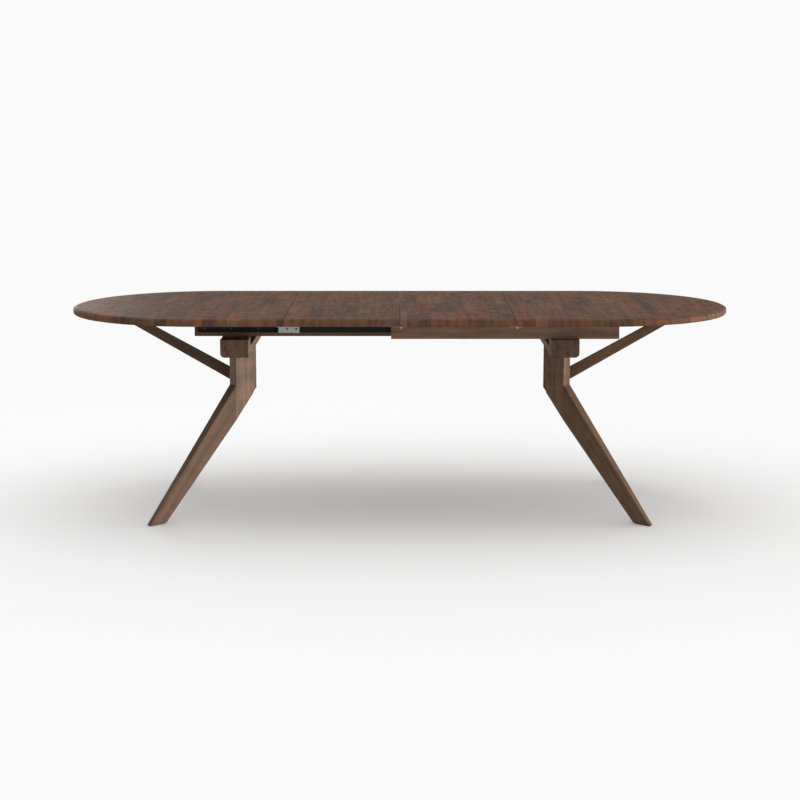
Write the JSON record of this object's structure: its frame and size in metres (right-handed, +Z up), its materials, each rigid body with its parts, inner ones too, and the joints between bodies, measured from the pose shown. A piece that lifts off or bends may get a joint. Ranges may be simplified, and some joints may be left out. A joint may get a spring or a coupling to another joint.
{
  "type": "extending dining table",
  "caption": "Oval extending dining table with folding butterfly leaves, sliding rails and pedestals of splayed, kinked legs braced to the ends of the top.",
  "frame": {"origin": "on the floor, under the middle of the drawn-out top", "axes": "+X along the table towards the end with the outer rails, +Y away from the pictured front, +Z up"},
  "size_m": [2.4, 1, 0.75],
  "materials": {
    "top_wood": "satin lacquered walnut staves",
    "base_wood": "satin lacquered walnut",
    "black_steel": "black satin",
    "zinc_steel": "zinc plated",
    "brass": "satin",
    "nylon": "moulded"
  },
  "bodies": {
    "left_table": {"left_back_leg": "base_wood", "left_back_post": "base_wood", "left_back_rail": "base_wood", "left_back_track": "black_steel", "left_beam": "base_wood", "left_beam_bolts": "black_steel", "left_beam_screws": "zinc_steel", "left_brace": "base_wood", "left_brace_screws": "zinc_steel", "left_core_bolt": "black_steel", "left_foot_glides": "nylon", "left_front_leg": "base_wood", "left_front_post": "base_wood", "left_front_rail": "base_wood", "left_front_track": "black_steel", "left_post_core": "base_wood", "left_rail_packers": "base_wood", "left_rail_screws": "zinc_steel", "left_seam_plates": "zinc_steel", "left_seam_screws": "zinc_steel", "left_top": "top_wood", "left_track_screws": "black_steel"},
    "right_table": {"right_back_leg": "base_wood", "right_back_post": "base_wood", "right_back_rail": "base_wood", "right_back_track": "black_steel", "right_beam": "base_wood", "right_beam_bolts": "black_steel", "right_beam_screws": "zinc_steel", "right_brace": "base_wood", "right_brace_screws": "zinc_steel", "right_core_bolt": "black_steel", "right_foot_glides": "nylon", "right_front_leg": "base_wood", "right_front_post": "base_wood", "right_front_rail": "base_wood", "right_front_track": "black_steel", "right_post_core": "base_wood", "right_rail_screws": "zinc_steel", "right_seam_plates": "zinc_steel", "right_seam_screws": "zinc_steel", "right_top": "top_wood", "right_track_screws": "black_steel"},
    "slide_runners": {"back_carriage_plates": "zinc_steel", "back_runner": "black_steel", "back_shoe_rivets": "black_steel", "back_slide_shoes": "nylon", "front_carriage_plates": "zinc_steel", "front_runner": "black_steel", "front_shoe_rivets": "black_steel", "front_slide_shoes": "nylon"},
    "right_leaf": {"centre_seam_plates": "zinc_steel", "centre_seam_screws": "zinc_steel", "right_hinge_cups": "brass", "right_hinge_pins": "brass", "right_leaf": "top_wood"},
    "hinge_links": {"hinge_links": "brass"},
    "left_leaf": {"left_hinge_cups": "brass", "left_hinge_pins": "brass", "left_leaf": "top_wood"}
  },
  "joints": [
    {"name": "extension", "type": "slide", "parent": "left_table", "child": "right_table", "axis": [1, 0, 0], "range_m": [0, 0.06]},
    {"name": "runner_slide", "type": "slide", "parent": "left_table", "child": "slide_runners", "axis": [1, 0, 0], "range_m": [0, 0.03]},
    {"name": "leaf_lift", "type": "slide", "parent": "left_table", "child": "right_leaf", "axis": [0, 0, 1], "range_m": [0, 0.15]},
    {"name": "link_turn", "type": "hinge", "parent": "right_leaf", "child": "hinge_links", "pos_m": [0.00325, 0, 0.747], "axis": [0, 1, 0], "range_deg": [0, 90]},
    {"name": "leaf_fold", "type": "hinge", "parent": "hinge_links", "child": "left_leaf", "pos_m": [-0.00325, 0, 0.747], "axis": [0, 1, 0], "range_deg": [0, 90]}
  ],
  "couplings": [
    {"joint": "runner_slide", "follows": "extension", "ratio": 0.5}
  ]
}
